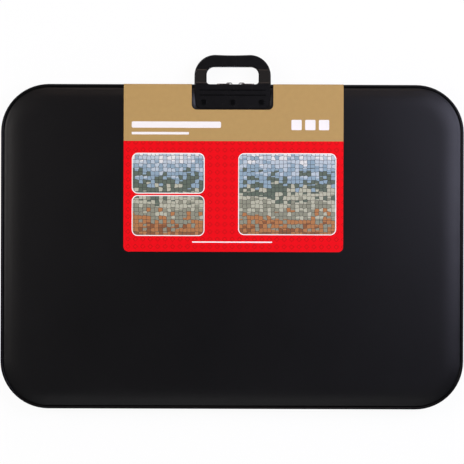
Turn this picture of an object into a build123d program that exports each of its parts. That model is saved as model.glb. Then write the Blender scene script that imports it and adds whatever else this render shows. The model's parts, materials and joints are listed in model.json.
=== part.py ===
"""A flat zip-up carrier for jigsaw puzzles, in millimetres.

The closed case lies on its back cover: X runs across it, Y towards its handles and Z out of its front cover.
The origin is the centre of the flat of the back cover. The back half is drawn first, and what the front
half shares with it is its mirror image about the parting plane, where the two rows of zip teeth meet.
"""

from build123d import *
from math import atan2, degrees
import os

# Outline of the case, to the outside of its piping
case_width = 810.0
case_height = 568.0
corner_radius = 84.0

# Heights above the surface that the case lies on
parting_height = 20.5
back_crown = 4.5
card_room = 0.6
board_thickness = 3.0
felt_thickness = 1.3

# Padded covers: where the pad starts, how far its crown runs in, and its shoulder beside the seam
pad_inset = 4.6
crown_run = 35.4
shoulder_run = 7.4
shoulder_drop = 1.5
skin_thickness = 1.2
foam_inset = 24.0

# Piping: a cord in a folded strip, whose sewn edge lies between the cover and the board
piping_radius = 2.3
piping_sides = 8
piping_rise = 0.9
welt_width = 12.0
welt_thickness = 0.8

# Wall of each half, outside to inside: imitation leather, zip tape, stiff rim
wall_inset = 2.0
wall_thickness = 1.2
tape_thickness = 1.0
rim_thickness = 4.0
wall_seat = 7.9
zip_gap = 5.5

# Zip: the chain runs round three sides, and ends a little past the two corners beside the spine
tooth_pitch = 12.0
tooth_length = 5.0
tooth_thickness = 2.6
tooth_height = 2.8
tooth_taper = 5.0
row_gap = 1.2
zip_end_run = 9.0
tape_tail = 6.0
stop_length = 4.0
stop_thickness = 3.2

# Spine hinge: its axis lies just outside the piping
hinge_gap = 0.3
hinge_strip_thickness = 1.0
hinge_strip_foot = 9.0
hinge_strip_end_gap = 8.0
fold_gap = 0.1

# Sliders and pulls
slider_left_x = -6.0
slider_right_x = 16.0
slider_length = 15.0
slider_nose_width = 10.4
slider_tail_width = 9.8
slider_corner = 1.5
slider_plate = 1.3
slider_gap = 0.3
slider_rail_reach = 0.8
slider_post_length = 3.0
slider_post_width = 0.8
bail_length = 11.0
bail_wire = 1.6
bail_width = 2.8
bail_height = 4.9
pull_length = 21.5
pull_width = 7.5
pull_thickness = 1.8
pull_arm_length = 7.0
pull_arm_width = 1.3
pull_arm_gap = 0.5
pull_pin_radius = 0.7
pull_pin_rise = 2.0
pull_hole_radius = 1.6

# Handles: a base plate riveted to the cover, and a grip that leans in over the zip
plate_width = 133.6
plate_foot_width = 125.0
plate_drop = 42.0
plate_corner = 8.0
plate_face = 0.4
plate_thickness = 3.0
plate_play = 0.1
plate_border = 0.6
piping_relief = 0.3
grip_height = 52.0
grip_shoulder = 36.5
grip_dip = 0.8
grip_thickness = 9.0
grip_gap = 0.4
grip_bevel = 1.6
grip_foot = 8.0
bar_width = 20.6
window_width = 91.4
window_top_corner = 13.5
window_foot_corner = 6.0
bend_radius = 9.0
neck_start = 2.5
neck_end = 26.0
neck_depth = 6.5
groove_width = 1.8
groove_depth = 1.5
groove_taper = 28.0
groove_length = 116.0
groove_drops = (10.3, 19.2)

# Rivets, and the strip that their inner ends are clenched over
rivet_spacing = 50.5
rivet_drop = 31.7
rivet_head_radius = 4.8
rivet_head_height = 0.9
rivet_recess_radius = 5.5
rivet_recess_depth = 1.0
rivet_shank_radius = 2.0
rivet_tail_radius = 3.5
rivet_tail_height = 0.5
strip_length = 116.0
strip_width = 12.0
strip_thickness = 0.8
strip_play = 0.2
hole_clearance = 0.1

# Printed card over the front's upper edge
card_width = 384.0
card_length = 293.0
card_shift = 2.0
card_thickness = 0.4
card_corner = 9.0
card_lip = 10.4
card_bend_drop = 22.0
card_bend_radius = 40.0
card_fold_radius = 2.2
notch_width = 142.8
notch_depth = 44.5

# Loose sorting boards
sorting_board_thickness = 3.5
sorting_felt_thickness = 1.0
sorting_board_play = 4.0

# Clearance between pieces of one half that lie against each other
seat_gap = 0.1
lining_gap = 0.2

# Heights and places that follow from the values above
seam_height = back_crown
front_crown = back_crown - card_room
board_top = seam_height + board_thickness
floor_height = board_top + felt_thickness
rim_top = parting_height - zip_gap
tape_inset = wall_inset + wall_thickness
rim_inset = tape_inset + tape_thickness
inner_inset = rim_inset + rim_thickness
chain_inset = tape_inset + tape_thickness / 2
tooth_top = parting_height - row_gap / 2
tooth_foot = tooth_top - tooth_height
zip_end = case_width / 2 - corner_radius - zip_end_run
piping_height = seam_height + piping_rise
board_inset = pad_inset + lining_gap
top_edge = case_height / 2
spine_edge = -case_height / 2
hinge_y = spine_edge - hinge_gap
pocket_floor = plate_face + plate_thickness + plate_play
parting_plane = Plane.XY.offset(parting_height)
rivet_places = [(x, top_edge - rivet_drop) for x in (-rivet_spacing, 0, rivet_spacing)]


def outline(inset, mode=Mode.ADD):
    """Draw the case's rounded outline in the current sketch, drawn in from its outer edge."""
    RectangleRounded(case_width - 2 * inset, case_height - 2 * inset, corner_radius - inset, mode=mode)


def ring(outer, inner):
    """Draw the band between two such outlines."""
    outline(outer)
    outline(inner, mode=Mode.SUBTRACT)


def round_the_case(inset):
    """Draw a closed line round the case from the middle of its spine, drawn in from its outer edge."""
    x = case_width / 2 - inset
    y = case_height / 2 - inset
    FilletPolyline((0, -y), (x, -y), (x, y), (0, y), radius=corner_radius - inset)
    mirror(about=Plane.YZ)


def zip_band():
    """Draw the band that the zip tape takes up: the wall's outline without the spine."""
    ring(tape_inset, rim_inset)
    with Locations((0, spine_edge)):
        Rectangle(2 * (zip_end - tape_tail), 2 * corner_radius, mode=Mode.SUBTRACT)


def chain_places(shift):
    """Places of a row's teeth along the chain. A shift of half a pitch staggers the other row."""
    count = round(chain.wire().length / tooth_pitch)
    places = []
    for index in range(count):
        share = (index + 0.25 + shift) / count
        point = chain.wire() @ share
        heading = chain.wire() % share
        places.append(Location((point.X, point.Y), degrees(atan2(heading.Y, heading.X))))
    return places


def crowned_pad(rise):
    """Pad of a cover: flat on its seam plane, crowned below it, and flat again where it bears."""
    y = case_height / 2 - pad_inset
    flat = (crown_run - y, seam_height - rise)
    shoulder = (shoulder_run - y, seam_height - rise + shoulder_drop)
    edge = (-y, seam_height)
    with BuildPart() as pad:
        with BuildLine(Plane.XY.offset(seam_height)) as seam:
            round_the_case(pad_inset)
        with BuildSketch(Plane.YZ):
            with BuildLine():
                upper = TangentArc(flat, shoulder, tangent=(-1, 0))
                TangentArc(shoulder, edge, tangent=upper % 1)
                Polyline(edge, (crown_run - y, seam_height), flat)
            make_face()
        sweep(path=seam.wire())
        with BuildSketch(Plane.XY.offset(seam_height)):
            outline(pad_inset + crown_run)
        extrude(amount=-rise)
    return pad.part


# Line of the zip's chain, from one end of the spine round to the other
with BuildLine() as chain:
    chain_x = case_width / 2 - chain_inset
    chain_y = case_height / 2 - chain_inset
    FilletPolyline(
        (zip_end, -chain_y),
        (chain_x, -chain_y),
        (chain_x, chain_y),
        (-chain_x, chain_y),
        (-chain_x, -chain_y),
        (-zip_end, -chain_y),
        radius=corner_radius - chain_inset,
    )

# Front view of a handle's base plate, tapered towards its foot
with BuildSketch() as plate_shape:
    with BuildLine():
        Polyline(
            (-plate_width / 2, top_edge),
            (-plate_foot_width / 2, top_edge - plate_drop),
            (plate_foot_width / 2, top_edge - plate_drop),
            (plate_width / 2, top_edge),
            close=True,
        )
    make_face()
    fillet(plate_shape.vertices().group_by(Axis.Y)[0], radius=plate_corner)

# Front view of the whole handle, with its window
with BuildSketch() as handle_shape:
    add(plate_shape.sketch)
    with BuildLine():
        side_top = top_edge + grip_height - grip_shoulder
        crest = top_edge + grip_height
        crest_end = plate_width / 2 - grip_shoulder
        Line((-plate_width / 2, top_edge), (plate_width / 2, top_edge))
        Line((plate_width / 2, top_edge), (plate_width / 2, side_top))
        TangentArc((plate_width / 2, side_top), (crest_end, crest), tangent=(0, 1))
        ThreePointArc((crest_end, crest), (0, crest - grip_dip), (-crest_end, crest))
        TangentArc((-crest_end, crest), (-plate_width / 2, side_top), tangent=(-1, 0))
        Line((-plate_width / 2, side_top), (-plate_width / 2, top_edge))
    make_face()
    with BuildSketch(mode=Mode.SUBTRACT) as window:
        window_height = grip_height - bar_width
        with Locations((0, top_edge + window_height / 2)):
            Rectangle(window_width, window_height)
        fillet(window.vertices().group_by(Axis.Y)[-1], radius=window_top_corner)
        fillet(window.vertices().group_by(Axis.Y)[0], radius=window_foot_corner)

# Padded back cover, its foam and its board
with BuildPart() as back_foam:
    with BuildSketch(Plane.XY.offset(seam_height)):
        outline(foam_inset)
        offset(plate_shape.sketch, amount=plate_border + skin_thickness, mode=Mode.SUBTRACT)
    extrude(amount=skin_thickness - back_crown)

with BuildPart() as back_cover:
    add(crowned_pad(back_crown))
    add(back_foam.part, mode=Mode.SUBTRACT)
    with BuildSketch(Plane.XY.offset(pocket_floor)):
        offset(plate_shape.sketch, amount=plate_border)
    extrude(amount=-pocket_floor, mode=Mode.SUBTRACT)
    with BuildSketch():
        with Locations(*rivet_places):
            Circle(rivet_shank_radius + hole_clearance)
    extrude(amount=seam_height, mode=Mode.SUBTRACT)

with BuildPart() as back_board:
    with BuildSketch(Plane.XY.offset(seam_height)):
        outline(board_inset)
    extrude(amount=board_thickness)
    with BuildSketch(Plane.XY.offset(seam_height)):
        ring(board_inset, welt_width + lining_gap)
    extrude(amount=welt_thickness, mode=Mode.SUBTRACT)
    with BuildSketch(Plane.XY.offset(board_top)):
        with Locations((0, top_edge - rivet_drop)):
            Rectangle(strip_length + 2 * strip_play, strip_width + 2 * strip_play)
    extrude(amount=-(strip_thickness + rivet_tail_height + seat_gap), mode=Mode.SUBTRACT)
    with Locations(*[(x, y, seam_height) for x, y in rivet_places]):
        Hole(radius=rivet_shank_radius + hole_clearance)

with BuildPart() as base_felt:
    with BuildSketch(Plane.XY.offset(board_top)):
        outline(inner_inset + lining_gap)
    extrude(amount=felt_thickness)

# Wall of the back half
with BuildPart() as base_side_wall:
    with BuildSketch(Plane.XY.offset(wall_seat)):
        ring(wall_inset, tape_inset)
    extrude(amount=rim_top - wall_seat)

with BuildPart() as base_rim:
    with BuildSketch(Plane.XY.offset(board_top)):
        ring(rim_inset, inner_inset)
    extrude(amount=rim_top - board_top)

with BuildPart() as back_piping:
    cord_y = piping_radius - case_height / 2
    with BuildLine(Plane.XY.offset(piping_height)) as cord:
        round_the_case(piping_radius)
    with BuildSketch(Plane.YZ):
        with Locations((cord_y, piping_height)):
            RegularPolygon(piping_radius, side_count=piping_sides, rotation=180 / piping_sides)
        with Locations((cord_y, seam_height)):
            Rectangle(welt_width - piping_radius, welt_thickness, align=(Align.MIN, Align.MIN))
    sweep(path=cord.wire())

# Zip of the back half: tape, teeth on its edge, and a stop at each end of the row
with BuildPart() as base_zip_tape:
    with BuildSketch(Plane.XY.offset(wall_seat)):
        zip_band()
    extrude(amount=tooth_foot - wall_seat)

with BuildPart() as base_zip_teeth:
    with BuildSketch(Plane.XY.offset(tooth_foot)):
        with Locations(*chain_places(0)):
            Rectangle(tooth_length, tooth_thickness)
    extrude(amount=tooth_height, taper=tooth_taper)

with BuildPart() as base_zip_stops:
    stop_x = zip_end - tape_tail + stop_length / 2
    with BuildSketch(Plane.XY.offset(tooth_foot)):
        with Locations((-stop_x, spine_edge + chain_inset), (stop_x, spine_edge + chain_inset)):
            Rectangle(stop_length, stop_thickness)
    extrude(amount=tooth_height)

# Back half's flap of the spine hinge, from the wall out to the fold
with BuildPart() as base_hinge_strip:
    wall_y = spine_edge + wall_inset
    fold_y = hinge_y + fold_gap
    fold_z = parting_height - fold_gap
    with BuildSketch(Plane.YZ):
        with BuildLine():
            Polyline(
                (wall_y, hinge_strip_foot),
                (wall_y, rim_top),
                (fold_y + hinge_strip_thickness, fold_z),
                (fold_y, fold_z),
                (wall_y - hinge_strip_thickness, rim_top),
                (wall_y - hinge_strip_thickness, hinge_strip_foot),
                close=True,
            )
        make_face()
    extrude(amount=zip_end - hinge_strip_end_gap, both=True)

# Back handle: the side view run across, cut to the front view, then recessed for its rivets
with BuildPart() as back_handle:
    grip_face = parting_height - grip_gap
    grip_back = grip_face - grip_thickness
    plate_back = plate_face + plate_thickness
    relief = piping_height - piping_radius - piping_relief
    relief_start = top_edge - 2 * piping_radius - 3 * piping_relief
    neck_y = top_edge + neck_start
    inside_y = top_edge + 4 * piping_relief
    with BuildSketch(Plane.YZ) as side:
        with BuildLine():
            Polyline(
                (top_edge - plate_drop, plate_face),
                (neck_y, plate_face),
                (top_edge + neck_end, grip_back),
                (top_edge + grip_height, grip_back),
                (top_edge + grip_height, grip_face),
                (top_edge + neck_end - neck_depth, grip_face),
                (inside_y, plate_face + neck_depth),
                (inside_y, relief),
                (relief_start, relief),
                (relief_start, plate_back),
                (top_edge - plate_drop, plate_back),
                close=True,
            )
        make_face()
        bends = [
            corner
            for corner in side.vertices()
            if neck_y - 1 < corner.X < top_edge + neck_end + 1
        ]
        fillet(bends, radius=bend_radius)
    extrude(amount=plate_width, both=True)
    with BuildSketch():
        add(handle_shape.sketch)
    extrude(amount=parting_height, mode=Mode.INTERSECT)
    grip_edges = [edge for edge in back_handle.edges() if edge.center().Y > top_edge + grip_foot]
    chamfer(grip_edges, length=grip_bevel)
    with BuildSketch(Plane.XY.offset(plate_face)):
        with Locations(*[(0, top_edge - drop) for drop in groove_drops]):
            Rectangle(groove_length, groove_width)
    extrude(amount=groove_depth, taper=groove_taper, mode=Mode.SUBTRACT)
    with BuildSketch(Plane.XY.offset(plate_face)):
        with Locations(*rivet_places):
            Circle(rivet_recess_radius)
    extrude(amount=rivet_recess_depth, mode=Mode.SUBTRACT)
    with BuildSketch(Plane.XY.offset(plate_face)):
        with Locations(*rivet_places):
            Circle(rivet_shank_radius + hole_clearance)
    extrude(amount=plate_thickness, mode=Mode.SUBTRACT)

# Rivets of the back handle, and the steel strip inside the board that they are clenched over
with BuildPart() as back_rivets:
    shoulder_z = plate_face + rivet_recess_depth
    tail_foot = board_top - rivet_tail_height - seat_gap
    with BuildSketch(Plane.XY.offset(shoulder_z)):
        with Locations(*rivet_places):
            Circle(rivet_head_radius)
    extrude(amount=-rivet_head_height)
    with BuildSketch(Plane.XY.offset(shoulder_z)):
        with Locations(*rivet_places):
            Circle(rivet_shank_radius)
    extrude(amount=tail_foot - shoulder_z)
    with BuildSketch(Plane.XY.offset(tail_foot)):
        with Locations(*rivet_places):
            Circle(rivet_tail_radius)
    extrude(amount=rivet_tail_height)

with BuildPart() as back_rivet_strip:
    with BuildSketch(Plane.XY.offset(tail_foot - strip_thickness)):
        with Locations((0, top_edge - rivet_drop)):
            Rectangle(strip_length, strip_width)
        with Locations(*rivet_places):
            Circle(rivet_shank_radius + hole_clearance, mode=Mode.SUBTRACT)
    extrude(amount=strip_thickness)

# Front half: the cover and foam are shallower by the card's room, and the rest is a mirror image
with BuildPart() as front_foam:
    with BuildSketch(Plane.XY.offset(seam_height)) as foam_face:
        outline(foam_inset)
        offset(plate_shape.sketch, amount=plate_border + skin_thickness, mode=Mode.SUBTRACT)
    foam = extrude(foam_face.sketch, amount=skin_thickness - front_crown, mode=Mode.PRIVATE)
    mirror(foam, about=parting_plane)

with BuildPart() as front_cover:
    mirror(crowned_pad(front_crown), about=parting_plane)
    add(front_foam.part, mode=Mode.SUBTRACT)
    with BuildSketch(Plane.XY.offset(2 * parting_height - pocket_floor)):
        offset(plate_shape.sketch, amount=plate_border)
    extrude(amount=pocket_floor, mode=Mode.SUBTRACT)
    with BuildSketch(Plane.XY.offset(2 * parting_height)):
        with Locations(*rivet_places):
            Circle(rivet_shank_radius + hole_clearance)
    extrude(amount=-seam_height, mode=Mode.SUBTRACT)

with BuildPart() as lid_zip_teeth:
    with BuildSketch(Plane.XY.offset(tooth_foot)) as row:
        with Locations(*chain_places(0.5)):
            Rectangle(tooth_length, tooth_thickness)
    teeth = extrude(row.sketch, amount=tooth_height, taper=tooth_taper, mode=Mode.PRIVATE)
    mirror(teeth, about=parting_plane)

# Printed card: flat on the pad, bent down to the piping and folded over the upper edge
with BuildPart() as label_card:
    card_under = 2 * parting_height - card_room + seat_gap
    fold_y = top_edge + seat_gap
    fold_z = 2 * parting_height - piping_height + piping_radius
    with BuildSketch(Plane.YZ):
        with BuildLine():
            FilletPolyline(
                (top_edge - card_length, card_under),
                (top_edge - card_bend_drop, card_under),
                (fold_y, fold_z),
                (fold_y, fold_z - card_lip),
                radius=[card_bend_radius, card_fold_radius],
            )
            offset(amount=card_thickness, side=Side.LEFT)
        make_face()
    extrude(amount=case_width / 2, both=True)
    with BuildSketch() as card_face:
        with Locations((card_shift, top_edge - card_length / 2)):
            Rectangle(card_width, card_length + 2 * card_thickness)
        with Locations((0, top_edge)):
            Rectangle(notch_width, 2 * notch_depth, mode=Mode.SUBTRACT)
        fillet([corner for corner in card_face.vertices() if corner.Y < top_edge], radius=card_corner)
    extrude(amount=2 * parting_height, mode=Mode.INTERSECT)

# Loose sorting boards, one on the other in the back half, each with felt on its upper face
with BuildPart() as sorting_board_lower:
    with BuildSketch(Plane.XY.offset(floor_height)):
        outline(inner_inset + sorting_board_play)
    extrude(amount=sorting_board_thickness)

with BuildPart() as sorting_board_lower_felt:
    with BuildSketch(Plane.XY.offset(floor_height + sorting_board_thickness)):
        outline(inner_inset + sorting_board_play)
    extrude(amount=sorting_felt_thickness)

sorting_step = sorting_board_thickness + sorting_felt_thickness

with BuildPart() as sorting_board_upper:
    add(sorting_board_lower.part.moved(Location((0, 0, sorting_step))))

with BuildPart() as sorting_board_upper_felt:
    add(sorting_board_lower_felt.part.moved(Location((0, 0, sorting_step))))


# Slider, drawn at X = 0 with its tail towards +X: two plates joined by a post at the nose, rails that
# hold the back half's row, and a bail. It is open towards the front half, whose row lifts straight out.
with BuildPart() as slider:
    outer_face = top_edge - chain_inset + tooth_thickness / 2 + slider_gap
    inner_face = top_edge - chain_inset - tooth_thickness / 2 - slider_gap
    bail_foot = outer_face + slider_plate
    outer_plane = Plane(origin=(0, outer_face, parting_height), x_dir=(1, 0, 0), z_dir=(0, 1, 0))
    inner_plane = Plane(origin=(0, inner_face, parting_height), x_dir=(1, 0, 0), z_dir=(0, -1, 0))
    rail_reach = tooth_top - tooth_height - parting_height - slider_gap
    for plane, rail_side in ((outer_plane, 1), (inner_plane, -1)):
        with BuildSketch(plane) as slider_plate_shape:
            with BuildLine():
                Polyline(
                    (-slider_length / 2, -slider_nose_width / 2),
                    (slider_length / 2, -slider_tail_width / 2),
                    (slider_length / 2, slider_tail_width / 2),
                    (-slider_length / 2, slider_nose_width / 2),
                    close=True,
                )
            make_face()
            fillet(slider_plate_shape.vertices(), radius=slider_corner)
        extrude(amount=slider_plate)
        with BuildSketch(plane):
            add(slider_plate_shape.sketch_local)
            with Locations((0, -rail_side * rail_reach)):
                Rectangle(
                    2 * slider_length,
                    2 * slider_nose_width,
                    align=(Align.CENTER, Align.MAX if rail_side > 0 else Align.MIN),
                    mode=Mode.SUBTRACT,
                )
        extrude(amount=-slider_rail_reach)
    with BuildSketch(outer_plane):
        with Locations((-slider_length / 2 + slider_post_length, 0)):
            Rectangle(slider_post_length, slider_post_width)
    extrude(amount=inner_face - outer_face)
    with BuildSketch(Plane.XY.offset(parting_height)) as bail:
        with Locations((0, bail_foot + bail_height / 2)):
            Rectangle(bail_length, bail_height)
        fillet(bail.vertices().group_by(Axis.Y)[-1], radius=2 * bail_wire)
        with Locations((0, bail_foot + (bail_height - bail_wire) / 2)):
            Rectangle(bail_length - 2 * bail_wire, bail_height - bail_wire, mode=Mode.SUBTRACT)
    extrude(amount=bail_width / 2, both=True)

# Pull of that slider, lying towards +X: a tab on two arms, whose pin turns inside the bail
with BuildPart() as pull:
    pin_y = bail_foot + pull_pin_rise
    arm_width = bail_width + 2 * (pull_arm_gap + pull_arm_width)
    tip_x = pull_length - pull_width / 2
    with BuildSketch(Plane(origin=(0, pin_y, parting_height), x_dir=(1, 0, 0), z_dir=(0, 1, 0))):
        with Locations((0, 0)):
            Rectangle(pull_arm_length, arm_width, align=(Align.MIN, Align.CENTER))
            Rectangle(
                pull_arm_length,
                bail_width + 2 * pull_arm_gap,
                align=(Align.MIN, Align.CENTER),
                mode=Mode.SUBTRACT,
            )
        with Locations((pull_arm_length, 0)):
            Rectangle(tip_x - pull_arm_length, pull_width, align=(Align.MIN, Align.CENTER))
        with Locations((tip_x, 0)):
            Circle(pull_width / 2)
            Circle(pull_hole_radius, mode=Mode.SUBTRACT)
    extrude(amount=pull_thickness / 2, both=True)
    with BuildSketch(Plane.XY.offset(parting_height)):
        with Locations((0, pin_y)):
            Circle(pull_pin_radius)
    extrude(amount=arm_width / 2, both=True)

# The right slider lies with its tail and pull towards +X, and the left one is its mirror image
with BuildPart() as slider_right:
    add(slider.part.moved(Location((slider_right_x, 0, 0))))

with BuildPart() as pull_right:
    add(pull.part.moved(Location((slider_right_x, 0, 0))))

with BuildPart() as slider_left:
    mirror(slider.part.moved(Location((-slider_left_x, 0, 0))), about=Plane.YZ)

with BuildPart() as pull_left:
    mirror(pull.part.moved(Location((-slider_left_x, 0, 0))), about=Plane.YZ)

pieces = {
    "back_cover": back_cover,
    "back_foam": back_foam,
    "back_board": back_board,
    "base_felt": base_felt,
    "base_side_wall": base_side_wall,
    "base_rim": base_rim,
    "back_piping": back_piping,
    "base_zip_tape": base_zip_tape,
    "base_zip_teeth": base_zip_teeth,
    "base_zip_stops": base_zip_stops,
    "base_hinge_strip": base_hinge_strip,
    "back_handle": back_handle,
    "back_rivets": back_rivets,
    "back_rivet_strip": back_rivet_strip,
    "sorting_board_lower": sorting_board_lower,
    "sorting_board_lower_felt": sorting_board_lower_felt,
    "sorting_board_upper": sorting_board_upper,
    "sorting_board_upper_felt": sorting_board_upper_felt,
    "slider_left": slider_left,
    "slider_right": slider_right,
    "pull_left": pull_left,
    "pull_right": pull_right,
    "front_cover": front_cover,
    "front_foam": front_foam,
    "lid_zip_teeth": lid_zip_teeth,
    "label_card": label_card,
}

# What the front half shares with the back half is mirrored about the parting plane
mirrored = {
    "front_board": back_board,
    "lid_felt": base_felt,
    "lid_side_wall": base_side_wall,
    "lid_rim": base_rim,
    "front_piping": back_piping,
    "lid_zip_tape": base_zip_tape,
    "lid_zip_stops": base_zip_stops,
    "lid_hinge_strip": base_hinge_strip,
    "front_handle": back_handle,
    "front_rivets": back_rivets,
    "front_rivet_strip": back_rivet_strip,
}
for label, twin in mirrored.items():
    with BuildPart() as piece:
        mirror(twin.part, about=parting_plane)
    pieces[label] = piece

os.makedirs("parts", exist_ok=True)
for label, piece in pieces.items():
    piece.part.label = label
    export_step(piece.part, f"parts/{label}.step")
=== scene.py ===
# %% [markdown]
# # A flat zip-up carrier for jigsaw puzzles
#
# The CAD model gives the sizes, the joints and the bodies. This script gives it the looks. The case lies on
# its back cover with its handles towards +Y, and the camera looks straight down on its front cover.
# The stiff pieces keep their CAD shapes, and get softened edges and materials. Everything that is sewn, glued
# or padded on the real case is made anew here, and stands for its plain CAD solid.

import json
import math

import bmesh
import bpy
from mathutils import Euler, Matrix, Vector, noise


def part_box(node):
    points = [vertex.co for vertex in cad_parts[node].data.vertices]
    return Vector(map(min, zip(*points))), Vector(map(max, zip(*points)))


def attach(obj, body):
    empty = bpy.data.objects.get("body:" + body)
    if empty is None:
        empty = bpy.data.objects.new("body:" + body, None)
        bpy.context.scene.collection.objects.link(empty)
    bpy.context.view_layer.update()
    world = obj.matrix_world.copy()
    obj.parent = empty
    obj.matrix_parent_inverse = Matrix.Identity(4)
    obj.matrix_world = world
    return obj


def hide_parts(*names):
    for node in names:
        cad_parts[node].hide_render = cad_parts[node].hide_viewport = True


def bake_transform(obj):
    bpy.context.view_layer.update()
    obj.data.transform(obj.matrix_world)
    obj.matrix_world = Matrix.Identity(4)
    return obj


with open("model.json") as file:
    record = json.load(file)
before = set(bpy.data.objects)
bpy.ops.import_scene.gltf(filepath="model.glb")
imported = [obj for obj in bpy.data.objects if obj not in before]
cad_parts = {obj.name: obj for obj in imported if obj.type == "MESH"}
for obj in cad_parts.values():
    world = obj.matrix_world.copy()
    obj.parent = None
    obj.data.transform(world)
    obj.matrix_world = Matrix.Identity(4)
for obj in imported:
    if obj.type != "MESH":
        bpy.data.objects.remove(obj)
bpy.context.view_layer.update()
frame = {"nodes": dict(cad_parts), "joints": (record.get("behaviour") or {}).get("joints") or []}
nodes = frame["nodes"]

# %% [markdown]
# ## Sizes
#
# Lengths are written in millimetres and turned to Blender's metres once, here. What the frame knows is read
# from it: a CAD node's box says where a piece starts and ends. An inset is a distance in from the outer edge
# of the case, because every piece of it follows that one rounded outline.

# %% Sizes that the pieces share
MM = 0.001
HALF_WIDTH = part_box("back_piping")[1].x
HALF_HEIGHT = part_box("back_piping")[1].y
CORNER = 84 * MM
HINGE = Vector(next(joint for joint in frame["joints"] if joint["name"] == "lid_hinge")["pos_m"])
PARTING = HINGE.z
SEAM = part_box("back_board")[0].z
PLATE_TOP = HALF_HEIGHT
PLATE_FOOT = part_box("front_handle")[0].y
HALVES = {"base": "back", "lid": "front"}


def inset_of(node):
    """How far in from the case's outer edge a node's own outer edge lies."""
    return HALF_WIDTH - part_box(node)[1].x


print(f"case {2000 * HALF_WIDTH:.0f} x {2000 * HALF_HEIGHT:.0f} mm, parting at {1000 * PARTING:.1f} mm")

# %% [markdown]
# ## How pieces are added
#
# A bmesh is Blender's mesh for modelling by operators. When a piece is done, it is written to an object with
# its materials, the object is set to move with its CAD body, and the CAD nodes that it stands for are hidden.
# Most pieces exist twice, once in each half of the case, so the front half's piece is the back half's,
# mirrored about the parting plane.


# %% Turn a bmesh into a piece of the case
def add_piece(bm, name, body, material, slot, stands_for=(), smooth_angle=35):
    """Writes a bmesh to a new object that rides on a body. Edges sharper than the angle stay crisp."""
    for face in bm.faces:
        face.smooth = True
    for edge in bm.edges:
        edge.smooth = len(edge.link_faces) == 2 and edge.calc_face_angle() < math.radians(smooth_angle)
    mesh = bpy.data.meshes.new(name)
    bm.to_mesh(mesh)
    bm.free()
    piece = bpy.data.objects.new(name, mesh)
    bpy.context.scene.collection.objects.link(piece)
    for finish in material if isinstance(material, list) else [material]:
        mesh.materials.append(finish)
    if body:
        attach(piece, body)
    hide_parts(*stands_for)
    return piece


def mirror_to_front(bm):
    """Moves a back-half piece to the front half: its mirror image about the parting plane."""
    for vert in bm.verts:
        vert.co.z = 2 * PARTING - vert.co.z
    bmesh.ops.reverse_faces(bm, faces=bm.faces)


# %% [markdown]
# ## A node helper and the black leathercloth
#
# The case is covered in PVC leathercloth: a knitted cloth with a skin of soft PVC, embossed with a fine
# leather grain while it is warm. To the eye it is nearly black, with a broad, dull sheen that the grain
# breaks up. Voronoi cells, seen by the distance to their edges, give the creases between the pores, and noise
# varies the polish. The creases are also painted a shade darker than the cells: painted shade, standing in
# for the shadow that falls in them. The real grain is about 1 mm, finer than a pixel of the view, so it is
# drawn at twice that size.


# %% Build materials from nodes
def linear(code):
    """An sRGB hex colour as the linear colour that shaders take."""
    parts = [int(code[start : start + 2], 16) / 255 for start in (1, 3, 5)]
    return (*[part / 12.92 if part <= 0.04045 else ((part + 0.055) / 1.055) ** 2.4 for part in parts], 1)


def add_node(tree, kind, inputs, **settings):
    """Adds a shader node. Each input, by name or identifier, gets a value or a link from another's output."""
    made = tree.nodes.new("ShaderNode" + kind)
    for name, value in settings.items():
        setattr(made, name, value)
    for key, value in inputs.items():
        socket = made.inputs[key] if isinstance(key, int) else None
        socket = socket or next(entry for entry in made.inputs if key in (entry.identifier, entry.name))
        if isinstance(value, bpy.types.NodeSocket):
            tree.links.new(value, socket)
        else:
            socket.default_value = value
    return made


def start_material(name, colour, roughness, **sockets):
    """A new material with its shader's plain values set, its node tree, and its object coordinates."""
    material = bpy.data.materials.new(name)
    material.use_nodes = True
    tree = material.node_tree
    shader = tree.nodes["Principled BSDF"]
    shader.inputs["Base Color"].default_value = linear(colour)
    shader.inputs["Roughness"].default_value = roughness
    for key, value in sockets.items():
        shader.inputs[key.replace("_", " ")].default_value = value
    place = tree.nodes.new("ShaderNodeTexCoord").outputs["Object"]
    return material, tree, shader, place


def per_metre(size_mm):
    """A texture's scale for a pattern of that size."""
    return 1 / (size_mm * MM)


def leathercloth(name, colour, crease_shade_colour, grain_mm, depth_mm, shine):
    """Embossed PVC leathercloth: creases between pores with painted shade in them, and a polish that varies
    from place to place.
    """
    material, tree, shader, place = start_material(name, colour, 0.5, Specular_IOR_Level=shine)
    pores = add_node(
        tree,
        "TexVoronoi",
        {"Vector": place, "Scale": per_metre(grain_mm), "Randomness": 0.9},
        feature="DISTANCE_TO_EDGE",
    )
    crease = add_node(tree, "MapRange", {"Value": pores.outputs[0], "From Max": 0.22})
    fine = add_node(tree, "TexNoise", {"Vector": place, "Scale": per_metre(1.4), "Detail": 3.0})
    relief = add_node(
        tree,
        "Math",
        {0: fine.outputs["Fac"], 1: 0.5, 2: crease.outputs[0]},
        operation="MULTIPLY_ADD",
    )
    bump = add_node(
        tree, "Bump", {"Height": relief.outputs[0], "Distance": depth_mm * MM, "Strength": 0.8}
    )
    broad = add_node(tree, "TexNoise", {"Vector": place, "Scale": per_metre(90), "Detail": 4.0})
    polish = add_node(
        tree, "MapRange", {"Value": broad.outputs["Fac"], "To Min": 0.27, "To Max": 0.34}
    )
    # Painted shade: the creases between the pores take the darker colour, as if shadowed.
    tone = add_node(
        tree,
        "Mix",
        {
            "Factor_Float": crease.outputs[0],
            "A_Color": linear(crease_shade_colour),
            "B_Color": linear(colour),
        },
        data_type="RGBA",
    )
    tree.links.new(bump.outputs[0], shader.inputs["Normal"])
    tree.links.new(polish.outputs[0], shader.inputs["Roughness"])
    tree.links.new(tone.outputs["Result"], shader.inputs["Base Color"])
    return material


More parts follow.
